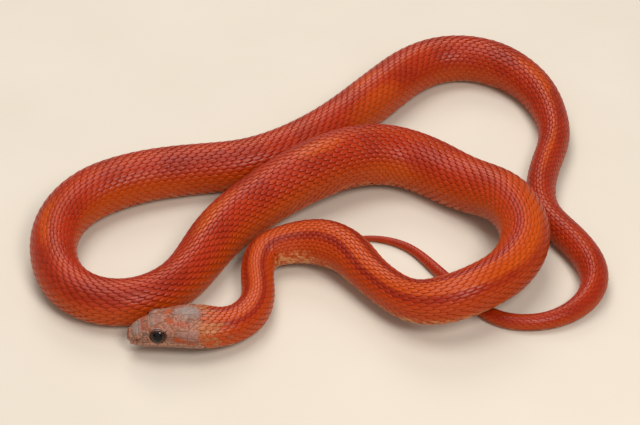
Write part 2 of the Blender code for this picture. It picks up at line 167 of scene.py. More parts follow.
def form_of(s):
    """Half width, crown, widest level, underside and the two exponents of the section at s."""
    body = smoothstep(NAPE[0], NAPE[0] + NAPE[1], s)
    head = 1 - body
    at = np.maximum(s, NOSE[1])
    half = np.maximum(body_width(s), THINNEST)
    width = head * head_width(at) + body * half
    top = head * head_top(at) + body * 2 * ROUNDNESS * half
    middle = head * head_middle(at) + body * WIDEST_LEVEL * ROUNDNESS * half
    under = head * head_under(at)
    front = np.clip((s - NOSE[0]) / (NOSE[1] - NOSE[0]), 0, 1)
    size = np.sqrt(front * (2 - front))
    under = middle - (middle - under) * size
    rise, fall = (top - middle) * size, middle - under + body * BELLY_FLAT * ROUNDNESS * half
    upper = 2 / (head * CROWN_SHAPE + body * BACK_SHAPE)
    lower = 2 / (head * JAW_SHAPE + body * BELLY_SHAPE)
    return width * size, rise, fall, middle, under, upper, lower


def section(s, turn):
    """Place to the right and height on the skin: turn 0 is the right side, 90 degrees the back."""
    s, turn = np.broadcast_arrays(np.asarray(s, float), np.asarray(turn, float))
    width, rise, fall, middle, under, upper, lower = form_of(s)
    sine, side = np.sin(turn), np.cos(turn)
    shape = np.where(sine > 0, upper, lower)
    v = width * signed_power(side, shape)
    z = middle + np.where(sine > 0, rise, fall) * signed_power(sine, shape)
    return v, np.maximum(z, under) + lift(s)


HEADING_STEP = 0.3           # the back's direction is taken over this length on both sides, mm
BEND_STEP = 2.0              # and its bend over this length
SKIN_STEP = 0.02             # the slope of the skin is taken over this length and this turn


def back_at(s):
    """x and y of the middle of the back at a distance from the snout."""
    return np.interp(s, BACK_AT, BACK[:, 0]), np.interp(s, BACK_AT, BACK[:, 1])


def place(s, v, z):
    """Position, in mm, of a point given along the back, to the snake's right, and up."""
    s = np.asarray(s, float)
    near = np.clip(s, HEADING_STEP, TAIL_TIP - HEADING_STEP)
    x, y = back_at(near)
    dx, dy = np.subtract(back_at(near + HEADING_STEP), back_at(near - HEADING_STEP))
    size = np.hypot(dx, dy)
    dx, dy = dx / size, dy / size
    along = s - near
    return np.stack([x + along * dx - v * dy, y + along * dy + v * dx, z + 0 * x], axis=-1)


def bend_at(s):
    """How sharply the back turns to the snake's right, per mm."""
    here = np.array(back_at(s))
    before = here - back_at(s - BEND_STEP)
    after = back_at(s + BEND_STEP) - here
    cross = before[0] * after[1] - before[1] * after[0]
    return np.arctan2(cross, (before * after).sum(axis=0)) / BEND_STEP


# How turn and the way round the skin go together: 0 on the back, 1 on the middle of the belly.
SHARE_STEP = 0.5
SHARE_AT = np.arange(-0.5, TAIL_TIP + 1, SHARE_STEP)
SHARES = np.linspace(0, 1, 241)
SHARE_TURN = np.radians(np.linspace(90, -90, 241))
FINE_TURNS = 721             # turns that are tried where a place on the head is looked for


def turns_by_share():
    """Length of skin from back to belly at each station, and the turn at each share of it."""
    v, z = section(SHARE_AT[:, None], SHARE_TURN[None, :])
    arcs = np.hypot(np.diff(v, axis=1), np.diff(z, axis=1)).cumsum(axis=1)
    turns = [np.interp(SHARES, np.r_[0, arc] / max(arc[-1], 1e-9), SHARE_TURN) for arc in arcs]
    return arcs[:, -1], np.array(turns)


HALF_ROUND, TURN_OF_SHARE = turns_by_share()


def half_round(s):
    """Length of skin from the middle of the back to the middle of the belly."""
    return np.interp(s, SHARE_AT, HALF_ROUND)


def turn_at(s, share):
    """Turn in radians for a share of the way round: above 0 on the snake's right, below on its left."""
    row = np.clip((s - SHARE_AT[0]) / SHARE_STEP, 0, len(SHARE_AT) - 1.001)
    column = np.clip(np.abs(share), 0, 1) * (len(SHARES) - 1.001)
    i, j = row.astype(int), column.astype(int)
    a, b = row - i, column - j
    turn = ((TURN_OF_SHARE[i, j] * (1 - a) + TURN_OF_SHARE[i + 1, j] * a) * (1 - b)
            + (TURN_OF_SHARE[i, j + 1] * (1 - a) + TURN_OF_SHARE[i + 1, j + 1] * a) * b)
    return np.where(share < 0, np.pi - turn, turn)


def share_of_turn(s, turn):
    """Share of the way round, on the right, that belongs to a turn of the section at s."""
    i = int(np.clip(round((s - SHARE_AT[0]) / SHARE_STEP), 0, len(SHARE_AT) - 1))
    return float(np.interp(-turn, -TURN_OF_SHARE[i], SHARES))


def share_at_level(s, level):
    """Share of the way round, on the right, of a point of the head at a height over its underside."""
    turn = np.linspace(np.pi / 2, -np.pi / 2, FINE_TURNS)
    z = section(s, turn)[1] - lift(s)
    return share_of_turn(s, turn[np.argmin(np.abs(z - level))])


def share_at_width(s, out):
    """Share of the way round, on the right, of a point of the crown this far from its middle."""
    turn = np.linspace(np.pi / 2, 0, FINE_TURNS)
    v = section(s, turn)[0]
    return share_of_turn(s, turn[np.argmin(np.abs(v - out))])


def on_skin(s, share, proud):
    """Points by distance from the snout, share of the way round and height over the coat's level."""
    s, share, proud = np.broadcast_arrays(*(np.asarray(value, float) for value in (s, share, proud)))
    turn = turn_at(s, share)
    here = place(s, *section(s, turn))
    along = place(s + SKIN_STEP, *section(s + SKIN_STEP, turn)) - here
    around = place(s, *section(s, turn + SKIN_STEP)) - place(s, *section(s, turn - SKIN_STEP))
    normal = np.cross(around, along)
    normal /= np.maximum(np.linalg.norm(normal, axis=-1, keepdims=True), 1e-9)
    ahead = place(s - 1, 0 * s, 0 * s) - place(s, 0 * s, 0 * s)
    normal = np.where((s < NOSE[0] + SKIN_STEP)[..., None], ahead, normal)
    return here + normal * (proud - LIES_IN)[..., None]


# The colour sockets of the Mix node.
MIX_FIRST, MIX_SECOND, MIX_RESULT = 6, 7, 2


def srgb(red, green, blue):
    """A screen colour, 0 to 255, as the linear colour that a shader takes."""
    return tuple(c / 12.92 if c <= 0.04045 else ((c + 0.055) / 1.055) ** 2.4
                 for c in (red / 255, green / 255, blue / 255)) + (1.0,)


class Value:
    """One number of a shader. Arithmetic on it adds Math nodes."""

    def __init__(self, finish, socket):
        self.finish, self.socket = finish, socket

    def __add__(self, other):
        return self.finish.math("ADD", self, other)

    def __radd__(self, other):
        return self.finish.math("ADD", other, self)

    def __sub__(self, other):
        return self.finish.math("SUBTRACT", self, other)

    def __rsub__(self, other):
        return self.finish.math("SUBTRACT", other, self)

    def __mul__(self, other):
        return self.finish.math("MULTIPLY", self, other)

    def __rmul__(self, other):
        return self.finish.math("MULTIPLY", other, self)

    def __truediv__(self, other):
        return self.finish.math("DIVIDE", self, other)

    def __pow__(self, other):
        return self.finish.math("POWER", self, other)

    def __abs__(self):
        return self.finish.math("ABSOLUTE", self)


class Finish:
    """A material being made."""

    def __init__(self, name, **fixed):
        self.material = bpy.data.materials.new(name)
        self.material.use_nodes = True
        self.tree = self.material.node_tree
        self.shader = self.tree.nodes["Principled BSDF"]
        for socket, value in fixed.items():
            self.shader.inputs[socket.replace("_", " ")].default_value = value
        self.known = {}

    def node(self, kind, settings=None, inputs=None):
        made = self.tree.nodes.new("ShaderNode" + kind)
        for name, value in (settings or {}).items():
            setattr(made, name, value)
        for name, value in (inputs or {}).items():
            self.feed(made.inputs[name], value)
        return made

    def feed(self, socket, value):
        if isinstance(value, Value):
            value = value.socket
        if isinstance(value, bpy.types.NodeSocket):
            self.tree.links.new(value, socket)
        else:
            socket.default_value = value

    def math(self, operation, *values):
        made = self.node("Math", {"operation": operation}, dict(enumerate(values)))
        return Value(self, made.outputs[0])

    def attribute(self, name):
        """The three numbers that a mesh carries under this name."""
        if name not in self.known:
            read = self.node("Attribute", {"attribute_name": name})
            split = self.node("SeparateXYZ", {}, {0: read.outputs["Vector"]})
            self.known[name] = [Value(self, out) for out in split.outputs]
        return self.known[name]

    def step(self, value, low, high):
        """0 below low and 1 above high, or the other way round, smoothly."""
        made = self.node("MapRange", {"interpolation_type": "SMOOTHSTEP"},
                         {"Value": value, "From Min": low, "From Max": high})
        return Value(self, made.outputs["Result"])

    def band(self, value, low, high, soft):
        """1 between two edges and 0 outside them, with soft edges."""
        return self.step(value, low - soft, low + soft) * self.step(value, high + soft, high - soft)

    def blob(self, x, y, middle, reach, soft=0.35):
        """1 inside an oval patch, 0 outside."""
        across, up = (x - middle[0]) / reach[0], (y - middle[1]) / reach[1]
        return self.step((across * across + up * up) ** 0.5, 1 + soft, 1 - soft)

    def noise(self, scale, detail, roughness=0.5):
        """Cloudy noise from 0 to 1, with this many clouds to a metre."""
        where = self.node("TexCoord").outputs["Object"]
        made = self.node("TexNoise", {}, {"Vector": where, "Scale": scale, "Detail": detail,
                                          "Roughness": roughness})
        return Value(self, made.outputs["Fac"])

    def cells(self, scale):
        """Distance to the nearest edge in a pattern with this many cells to a metre."""
        where = self.node("TexCoord").outputs["Object"]
        made = self.node("TexVoronoi", {"feature": "DISTANCE_TO_EDGE"}, {"Vector": where, "Scale": scale})
        return Value(self, made.outputs["Distance"])

    def mix(self, share, first, second):
        made = self.node("Mix", {"data_type": "RGBA"},
                         {"Factor": share, MIX_FIRST: first, MIX_SECOND: second})
        return made.outputs[MIX_RESULT]

    def bump(self, height, distance, strength):
        made = self.node("Bump", {}, {"Height": height, "Distance": distance, "Strength": strength})
        self.feed(self.shader.inputs["Normal"], made.outputs[0])

    def set(self, **inputs):
        for name, value in inputs.items():
            self.feed(self.shader.inputs[name.replace("_", " ")], value)


BRICK = srgb(158, 39, 7)
DEEP = srgb(124, 24, 4)
ORANGE = srgb(186, 74, 5)
BRIGHT = srgb(182, 68, 3)
CREAM = srgb(214, 160, 104)
# Painted shade of the gaps between scales: dark red on each scale's rim and on the skin that shows between
# them.
GAP_SHADE_RED = srgb(132, 27, 6)
# Painted sheen: a pinkish highlight laid on the middle of each scale.
PAINTED_SHEEN_PINK = srgb(186, 76, 42)
HEAD_PINK = srgb(140, 84, 62)
HEAD_GREY = srgb(110, 88, 76)
HEAD_BLUE = srgb(136, 124, 118)
HEAD_LILAC = srgb(150, 108, 98)
HEAD_RED = srgb(150, 56, 30)
HEAD_ORANGE = srgb(162, 62, 8)
NAPE_OCHRE = srgb(178, 98, 42)
LIP = srgb(172, 130, 108)
SUTURE_TONE = srgb(172, 122, 100)
DARK_BROWN = srgb(84, 50, 36)
# Painted shade in the mouth's groove and the nostrils' pits.
MOUTH_AND_NOSTRIL_SHADE = srgb(52, 28, 22)
PUPIL = srgb(2, 2, 2)
IRIS_DARK = srgb(34, 18, 13)
IRIS_LIGHT = srgb(62, 34, 22)
IRIS_GLOW = srgb(112, 44, 20)
IRIS_EDGE = srgb(20, 11, 9)
EYE_RIM_DARK = srgb(52, 32, 26)
EYE_RIM_LIGHT = srgb(92, 60, 46)
FLOOR_DARK = srgb(204, 195, 180)
FLOOR_LIGHT = srgb(212, 203, 189)

# Where the body's markings fade: a distance from the snout or a way round from the back, first the
# end that has none of the marking and then the end that has all of it.
STRIPED_FRONT = (175, 120)
FLANK = (0.28, 0.54)
BRIGHT_CROWN = (0.15, 0.09)
BRIGHT_RIDGE = (0.10, 0.03)
STRIPE_DEEPENS = (24, 40)
STRIPE_STRONGEST = (120, 80)
SADDLED_BACK = (0.40, 0.22)
DARK_TAIL = (400, 470)
SPECKLED_SIDE = (0.56, 0.66)
SPECKLED_FRONT = (140, 90)
BELLY_EDGE = (0.70, 0.76)
DARK_STRIPE = (0.125, 0.225, 0.045)    # both edges, and how soft they are
BRIGHT_STRIPE = (0.24, 0.40, 0.05)
SADDLE_PERIOD = 17.0         # mm from one saddle to the next
# Middle and reach of the two pale, speckled stretches low on the neck's sides.
PALE_THROAT = ((54, 0.58), (11, 0.15))
PALE_SIDE = ((92, 0.64), (24, 0.13))

# Brighter and darker places of the body: distance from the snout, way round, the two reaches,
# tint and strength.
BODY_PATCHES = [
    ((132, -0.10), (16, 0.10), ORANGE, 0.6), ((182, 0.50), (8, 0.12), ORANGE, 0.6),
    ((202, 0.06), (6, 0.10), ORANGE, 0.7), ((218, 0.58), (8, 0.10), ORANGE, 0.6),
    ((235, -0.03), (8, 0.10), ORANGE, 0.7), ((301, 0.12), (7, 0.08), ORANGE, 0.7),
    ((322, -0.46), (20, 0.15), ORANGE, 0.5), ((396, -0.33), (9, 0.18), ORANGE, 0.6),
    ((400, 0.09), (5, 0.06), ORANGE, 0.6), ((457, 0.07), (8, 0.10), ORANGE, 0.6),
    ((482, 0.02), (8, 0.06), ORANGE, 0.6), ((272, 0.22), (18, 0.10), DEEP, 0.5),
    ((295, 0.0), (6, 0.05), DEEP, 0.5), ((347, -0.16), (9, 0.10), DEEP, 0.5),
    ((445, -0.06), (6, 0.08), DEEP, 0.5), ((469, 0.14), (7, 0.08), DEEP, 0.5),
]

# The head's patches: distance from the snout, way round, the two reaches, tint and strength.
HEAD_PATCHES = [
    ((2.2, 0.10), (1.2, 0.20), HEAD_BLUE, 0.7), ((3.5, 0.12), (0.35, 0.13), HEAD_RED, 0.7),
    ((4.5, 0.14), (0.40, 0.12), HEAD_ORANGE, 0.6), ((5.6, 0.08), (0.8, 0.10), HEAD_BLUE, 0.45),
    ((7.2, 0.03), (1.2, 0.07), HEAD_LILAC, 0.5), ((9.6, 0.11), (1.1, 0.075), HEAD_ORANGE, 0.95),
    ((12.3, 0.19), (1.9, 0.05), HEAD_RED, 0.6), ((8.9, 0.30), (0.6, 0.12), HEAD_LILAC, 0.7),
    ((11.3, 0.455), (1.6, 0.055), HEAD_ORANGE, 0.95), ((13.6, 0.50), (1.8, 0.04), HEAD_ORANGE, 0.85),
    ((13.6, 0.38), (2.4, 0.08), HEAD_LILAC, 0.8), ((16.9, 0.36), (0.9, 0.10), HEAD_RED, 0.55),
    ((17.6, 0.12), (0.9, 0.10), HEAD_RED, 0.55), ((19.2, 0.32), (2.8, 0.30), NAPE_OCHRE, 0.75),
]

# Where the lips' colour begins, where the head's colours turn into the neck's, and middle and reach
# of two more patches of the head.
LIP_EDGE = (0.44, 0.54)
NECK_BEGINS = (16.5, 22.5)
TEMPLE = ((13.6, 0.34), (3.4, 0.16))
CROWN_PATCH = ((14.4, 0.08), (2.7, 0.14))


def body_colour(f, s, share, tone):
    """The markings of neck, body and tail by distance from the snout and way round."""
    away = abs(share)
    cloud = f.noise(160, 3)
    fine = f.noise(900, 2)
    front = f.step(s, *STRIPED_FRONT)
    flank = f.step(away, *FLANK)
    colour = f.mix(flank * (0.5 + 0.4 * cloud), BRICK, ORANGE)
    crown = f.step(away, *BRIGHT_CROWN) * front
    colour = f.mix(crown * 0.8, colour, BRIGHT)
    stripe = f.band(away, *DARK_STRIPE) * front * (0.4 + 0.6 * f.step(s, *STRIPE_STRONGEST))
    colour = f.mix(stripe * (0.55 + 0.25 * f.step(s, *STRIPE_DEEPENS)), colour, DEEP)
    upper_side = f.band(away, *BRIGHT_STRIPE) * front
    colour = f.mix(upper_side * 0.45, colour, BRIGHT)
    wave = f.math("SINE", s * (2 * math.pi / SADDLE_PERIOD) + 2.5 * f.noise(60, 1))
    saddle = f.step(wave, -0.2, 0.7) * f.step(away, *SADDLED_BACK) * (1 - front)
    colour = f.mix(saddle * 0.34, colour, DEEP)
    colour = f.mix(f.step(s, *DARK_TAIL) * 0.25, colour, DEEP)
    ridge = f.step(away, *BRIGHT_RIDGE) * (1 - front)
    colour = f.mix(ridge * 0.25, colour, BRIGHT)
    near, round_it = s + (cloud - 0.5) * 12.0, share + (cloud - 0.5) * 0.2
    for middle, reach, tint, strength in BODY_PATCHES:
        colour = f.mix(f.blob(near, round_it, middle, reach, 0.6) * strength, colour, tint)
    pale = f.blob(s, away, *PALE_THROAT, 0.5) + f.blob(s, away, *PALE_SIDE, 0.5)
    colour = f.mix(f.step(fine, 0.42, 0.58) * pale * 0.6, colour, CREAM)
    speckle = f.step(tone + (away - SPECKLED_SIDE[1]) * 3.0, 0.55, 0.8) * f.step(away, *SPECKLED_SIDE)
    colour = f.mix(speckle * (0.2 + 0.5 * f.step(s, *SPECKLED_FRONT)), colour, CREAM)
    return f.mix(f.step(away, *BELLY_EDGE), colour, f.mix(fine, CREAM, ORANGE))


def head_colour(f, s, share):
    """The markings of the head: brownish pink and grey, finely mottled, with orange patches."""
    away = abs(share)
    cloud = f.noise(420, 3)
    mottle = f.noise(1700, 4, 0.72)
    colour = f.mix(f.step(cloud, 0.35, 0.65), HEAD_PINK, HEAD_GREY)
    colour = f.mix(f.step(away, *LIP_EDGE) * 0.85, colour, LIP)
    colour = f.mix(f.step(mottle, 0.50, 0.58) * 0.7, colour, SUTURE_TONE)
    colour = f.mix(f.step(mottle, 0.48, 0.40) * 0.65, colour, f.mix(cloud, HEAD_RED, DARK_BROWN))
    temple = f.step(f.cells(1250), 0.16, 0.04) * f.blob(s, away, *TEMPLE)
    colour = f.mix(temple * 0.6, colour, SUTURE_TONE)
    along, round_it = s + (mottle - 0.5) * 1.6, away + (mottle - 0.5) * 0.10
    for middle, reach, tint, strength in HEAD_PATCHES:
        colour = f.mix(f.blob(along, round_it, middle, reach) * strength, colour, tint)
    grey_patch = f.blob(along, share + (mottle - 0.5) * 0.1, *CROWN_PATCH, 0.5)
    colour = f.mix(grey_patch * (0.55 + 0.5 * mottle), colour, HEAD_BLUE)
    colour = f.mix(f.step(mottle, 0.52, 0.60) * 0.35, colour, SUTURE_TONE)
    return f.mix(f.step(mottle, 0.47, 0.40) * 0.3, colour, DARK_BROWN)


def skin_colour(f, tone):
    """Colour of skin, scales and shields, with the two distances that it is drawn by."""
    s, share, _ = f.attribute("lie")
    ragged = s + (f.noise(300, 2) - 0.5) * 7.0 + (tone - 0.5) * 4.0
    neck = f.step(ragged, *NECK_BEGINS)
    return f.mix(neck, head_colour(f, s, share), body_colour(f, s, share, tone)), s, abs(share)


def scale_finish(name, gloss):
    """Scales: each has one tone, a rim darkened with painted shade of the gaps between scales, and a paler,
    pinkish middle that is a painted sheen.
    """
    f = Finish(name, Roughness=0.30, Specular_IOR_Level=0.20, Coat_Weight=gloss, Coat_Roughness=0.25)
    tone, rim, _ = f.attribute("form")
    colour, s, away = skin_colour(f, tone)
    colour = f.mix((tone - 0.35) * 0.24, colour, BRIGHT)
    # painted sheen: the middle of each scale is tinted pinkish as if lit
    colour = f.mix(f.step(rim, 0.45, 0.02) * 0.06, colour, PAINTED_SHEEN_PINK)
    # painted shade of the gaps on each scale's rim, weaker on the flanks
    gap_shade = f.step(rim, 0.45, 1.0) * f.step(s, 12, 24) * (1 - 0.45 * f.step(away, 0.3, 0.5))
    f.set(Base_Color=f.mix(gap_shade * 0.32, colour, GAP_SHADE_RED))
    f.bump(f.noise(5200, 2), 0.04 * MM, 0.5)
    return f.material


def skin_finish():
    """The skin between the scales, darkened there with painted shade of the gaps, and what shows between the
    head's shields, with painted shade in the mouth's groove and the nostrils' pits.
    """
    f = Finish("snake_skin", Roughness=0.55, Specular_IOR_Level=0.2)
    colour, s, _ = skin_colour(f, f.noise(700, 1))
    # painted shade of the gaps between the scales, on the skin behind the head
    colour = f.mix(f.step(s, 15, 22) * 0.75, colour, GAP_SHADE_RED)
    colour = f.mix(f.step(s, 20, 14) * 0.45, colour, SUTURE_TONE)
    hollow = f.attribute("form")[1]
    # painted shade where the skin lies deep in the mouth's groove or a nostril's pit
    f.set(Base_Color=f.mix(hollow, colour, MOUTH_AND_NOSTRIL_SHADE))
    f.bump(f.cells(2600), 0.08 * MM, 0.6)
    return f.material


def shield_finish():
    """The head's shields, with pale seams."""
    f = Finish("head_shield", Roughness=0.42, Specular_IOR_Level=0.15)
    tone, rim, _ = f.attribute("form")
    colour, _, _ = skin_colour(f, tone)
    f.set(Base_Color=f.mix(f.step(rim, 0.35, 0.95) * 0.7, colour, SUTURE_TONE))
    f.bump(f.noise(2800, 4, 0.6), 0.10 * MM, 0.6)
    return f.material


def eye_finish():
    """A dark iris, reddish at its lower back, round a black pupil."""
    f = Finish("eye", Roughness=0.05, Specular_IOR_Level=0.26)
    across, lid, low = f.attribute("form")
    iris = f.mix(f.noise(2600, 2), IRIS_DARK, IRIS_LIGHT)
    iris = f.mix(low * 0.8, iris, IRIS_GLOW)
    iris = f.mix(f.step(across, 0.80, 0.98), iris, IRIS_EDGE)
    ball = f.mix(f.step(across, 0.58, 0.68), PUPIL, iris)
    f.set(Base_Color=f.mix(lid, ball, HEAD_LILAC))
    return f.material


def rim_finish():
    """The dark ring round each eye."""
    f = Finish("eye_rim", Roughness=0.5, Specular_IOR_Level=0.2)
    lid = f.attribute("form")[0]
    colour = f.mix(f.noise(1800, 2), EYE_RIM_DARK, EYE_RIM_LIGHT)
    f.set(Base_Color=f.mix(lid * 0.9, colour, HEAD_LILAC))
    return f.material


def primitive(kind, name, **settings):
    """One of Blender's own meshes, alone in the selection."""
    bpy.ops.object.select_all(action="DESELECT")
    getattr(bpy.ops.mesh, f"primitive_{kind}_add")(**settings)
    obj = bpy.context.active_object
    obj.name = obj.data.name = name
    return obj


def edit_all():
    """Edit mode on the active mesh, with all of it selected."""
    bpy.ops.object.mode_set(mode="EDIT")
    bpy.ops.mesh.select_all(action="SELECT")


def select_open_edges():
    bpy.ops.mesh.select_all(action="DESELECT")
    bpy.ops.mesh.select_non_manifold()


def faces_out():
    """Points every face of the mesh in edit mode outwards and leaves edit mode."""
    bpy.ops.mesh.select_all(action="SELECT")
    bpy.ops.mesh.normals_make_consistent(inside=False)
    bpy.ops.object.mode_set(mode="OBJECT")


def corners(obj):
    co = np.empty(len(obj.data.vertices) * 3)
    obj.data.vertices.foreach_get("co", co)
    return co.reshape(-1, 3)


def put_corners(obj, points):
    obj.data.vertices.foreach_set("co", np.asarray(points, float).ravel())
    obj.data.update()


def carry(obj, name, values):
    """Stores three numbers for each vertex."""
    layer = obj.data.attributes.new(name, "FLOAT_VECTOR", "POINT")
    layer.data.foreach_set("vector", np.asarray(values, np.float32).ravel())


def map_for_baking(obj, uv):
    """Gives the mesh its map, one pair for each corner of each face."""
    layer = obj.data.uv_layers.active or obj.data.uv_layers.new()
    layer.name = "OFBake"
    layer.data.foreach_set("uv", uv.astype(np.float32).ravel())


def finish_piece(obj, material):
    obj.data.materials.clear()
    obj.data.materials.append(material)
    obj.data.shade_smooth()
    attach(obj, "root")


SIDES = 128                  # faces round the skin
RING_GAPS = (0.04, 0.16, 0.95)    # distance of its rings at the snout, and what is added behind
SKIN_DEPTH = 0.24            # the skin lies this far under the level of the coat
MOUTH_END, MOUTH_FADE = 17.4, 0.6    # where the groove of the mouth ends, and how softly
MOUTH_FROM = 0.3             # no skin nearer to the back than this share belongs to the mouth
GROOVE_DEPTH, GROOVE_WIDTH = 0.3, 0.17
SOCKET_EDGE = (2.15, 1.65)   # distances from the eye's axis between which the skin is pressed in
SOCKET_DEPTH = 0.2
SOCKETS_END = 12             # no skin behind this station belongs to an eye
PIT_EDGE = (0.5, 0.15)       # the same from the nostril's middle
PIT_DEPTH, SNOUT_HALF = 0.45, 2.9


def skin_stations():
    """Stations of the skin's rings, close together on the head and wider behind it."""
    stations = [NOSE[0]]
    while stations[-1] < TAIL_TIP:
        s = stations[-1]
        shares = (1, smoothstep(-0.3, 1.5, s), smoothstep(16, 40, s))
        stations.append(s + np.dot(RING_GAPS, shares))
    stations[-1] = TAIL_TIP
    return np.array(stations)


def eye_frame(hand):
    """Middle of an eye and the way that it looks; hand is 1 on the snake's right, else -1."""
    turn = np.linspace(0, np.pi / 2, 400)
    v, z = section(EYE_AT, turn)
    cheek = float(v[np.argmin(np.abs(z - EYE_LEVEL - lift(EYE_AT)))])
    depth = cheek + EYE_PROUD - EYE_DEPTH
    middle = place(EYE_AT, hand * depth, EYE_LEVEL + lift(EYE_AT))
    ahead = place(EYE_AT - 1, 0, 0) - place(EYE_AT, 0, 0)
    out = place(EYE_AT, hand, 0) - place(EYE_AT, 0, 0)
    look = out * math.cos(EYE_FORWARD) + ahead * math.sin(EYE_FORWARD)
    look = look * math.cos(EYE_UP) + np.array([0, 0, 1]) * math.sin(EYE_UP)
    return middle, look / np.linalg.norm(look)


def mouth_groove(s, share):
    """1 along the line of the mouth, 0 away from it."""
    z = section(s, turn_at(s, share))[1] - lift(s)
    groove = np.exp(-((z - mouth_level(s)) / GROOVE_WIDTH) ** 2)
    groove = groove * smoothstep(MOUTH_END + MOUTH_FADE, MOUTH_END - MOUTH_FADE, s)
    return groove * (np.abs(share) > MOUTH_FROM)


def press_socket(points, s, share, hand):
    """Presses the skin in behind an eye."""
    middle, look = eye_frame(hand)
    off = points - middle
    out = off @ look
    across = np.linalg.norm(off - out[:, None] * look, axis=1)
    near = smoothstep(*SOCKET_EDGE, across) * (out > 0) * (share * hand > 0) * (s < SOCKETS_END)
    points -= (near * (out + SOCKET_DEPTH).clip(0))[:, None] * look


def press_nostril(points, hand):
    """Presses a pit into the snout and gives how deep each point is in it, from 0 to 1."""
    nostril = on_skin(NOSTRIL_AT, hand * share_at_level(NOSTRIL_AT, NOSTRIL_LEVEL), 0)
    pit = smoothstep(*PIT_EDGE, np.linalg.norm(points - nostril, axis=1))
    outwards = nostril - place(NOSTRIL_AT, 0, nostril[2])
    points -= pit[:, None] * PIT_DEPTH * outwards / SNOUT_HALF
    return pit


def markings_at(s, share):
    """What the markings are drawn by: distance from the snout, and way round from the back."""
    return np.stack([s, share - roll_at(s), 0 * s], -1)


def make_skin():
    """One skin from the snout to the tip of the tail, with a groove for the mouth and eye sockets."""
    stations = skin_stations()
    obj = primitive("grid", "skin", x_subdivisions=len(stations) - 1, y_subdivisions=SIDES, size=2)
    flat = corners(obj)
    column = np.rint((flat[:, 0] + 1) / 2 * (len(stations) - 1)).astype(int)
    s, share = stations[column], flat[:, 1]
    hollow = mouth_groove(s, share)
    points = on_skin(s, share, -SKIN_DEPTH - GROOVE_DEPTH * hollow)
    for hand in (1, -1):
        press_socket(points, s, share, hand)
        hollow = np.maximum(hollow, press_nostril(points, hand))
    carry(obj, "lie", markings_at(s, share))
    # the form's second number is the depth in the mouth's groove or a nostril's pit, where the skin's finish
    # puts painted shade
    carry(obj, "form", np.stack([0 * s, hollow, 0 * s], -1))
    put_corners(obj, points * MM)
    obj.data.uv_layers[0].name = "OFBake"
    edit_all()
    bpy.ops.mesh.remove_doubles(threshold=2e-6)
    select_open_edges()
    bpy.ops.mesh.fill_holes(sides=0)
    faces_out()
    finish_piece(obj, skin_finish())
    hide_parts(*FLESH)


# How many rows of scales lie on each side of the middle of the back, by distance from the snout.
ROWS = [(14, 11.5), (30, 12.2), (50, 12.8), (70, 13.6), (100, 14.9), (130, 15.6), (230, 15.6),
        (250, 14.8), (300, 13.8), (390, 13.7), (430, 12.2), (450, 11.4), (480, 10.4), (525, 9.8),
        (540, 8.4), (555, 6.6), (575, 5.6), (595, 4.6), (616, 3.4)]
# Distance between two scales of one row.
PERIODS = [(14, 1.5), (40, 1.6), (70, 1.8), (100, 2.3), (200, 2.4), (300, 2.35), (400, 2.35),
           (450, 2.2), (480, 1.9), (525, 1.9), (560, 1.45), (616, 0.9)]
# How far the middle of the back lies from the top of the body, as a share of the half round.
ROLL = [(0, 0), (16, 0), (25, -0.04), (35, 0.03), (43, 0.07), (52, 0.04), (62, 0.0), (72, -0.01),
        (82, -0.06), (100, -0.08), (122, -0.10), (132, -0.09), (145, -0.05), (156, -0.025), (170, -0.03),
        (190, -0.02), (232, -0.08), (246, -0.05), (290, 0.0), (390, 0.02), (420, -0.03), (616, 0)]
rows_at = smoothed(ROWS, 8.0)
period_at = smoothed(PERIODS, 8.0)
roll_at = smoothed(ROLL, 5.0)
BACK_SHARE = 0.715           # how far round the rows of small scales reach
MOST_ROWS = 17               # on each side of the middle of the back
OVERLAP = 1.5                # a scale's own length against the distance to the next
SCALE_GRID = (8, 6)
SCALE_OUTLINE = ([0, 0.2, 0.45, 0.65, 0.80, 0.90, 0.96, 1.0],
                 [0.45, 0.68, 0.95, 1.0, 0.86, 0.60, 0.36, 0.08])
SCALE_HALF_WIDTH = 0.66      # against the rows' distance
RISE = 0.24                  # a scale's root is sunk this far, mm
DOME = 0.11                  # and its sides this far against its middle
TIP_BOW, TIP_DROP = 0.04, 0.14    # the tip runs out in the middle and turns down
OWN_TONE = 0.6               # how far a scale has one colour rather than the markings' own
SCALE_MIDDLE = 0.6           # the place along a scale that this colour is taken from
FULL_ROUND = 19.0            # where the half round is shorter, scales are lower in proportion, mm
SCUTES_START = 17
SCUTE_OVERLAP = 1.32
SCUTE_HALF_WIDTH = 1.03 - BACK_SHARE
SCUTE_BOW, SCUTE_TOP, SCUTE_DROP = 0.16, -0.03, 0.10    # its curve, highest level and edge
PATCH = 0.004                # size of a scale on the map for baking
UNDER_PATCH = 0.12           # size of its underside on the map against that
SCUTES_IN_A_ROW = 18         # on the map
COAT_START = 14.25
LAST_SCALES = TAIL_TIP - 1.5
COATS = [("neck", COAT_START, 56), ("front_body", 56, 130), ("middle_body_a", 130, 196),
         ("middle_body_b", 196, 262), ("rear_body_a", 262, 330), ("rear_body_b", 330, 398),
         ("rear_body_c", 398, 462), ("tail", 462, TAIL_TIP - 0.4)]


def scale_stations():
    """Where scales begin along the back; every second one is for the rows between."""
    stations = [COAT_START]
    while stations[-1] < LAST_SCALES:
        s = stations[-1]
        stations.append(s + period_at(s) / 2)
    return np.array(stations)


STATIONS = scale_stations()


def coat_begins(away):
    """Where the small scales start behind the head's shields, by share of the way round."""
    return np.interp(away, [0, 0.12, 0.22, 0.40, 0.50, 0.56, 0.66, 0.72],
                     [15.9, 15.8, 15.4, 14.9, 15.1, 16.0, 16.4, 15.0])


def relief_at(s):
    """How high the scales are at s against the highest."""
    return float(np.clip(half_round(s) / FULL_ROUND, 0.25, 1.0))


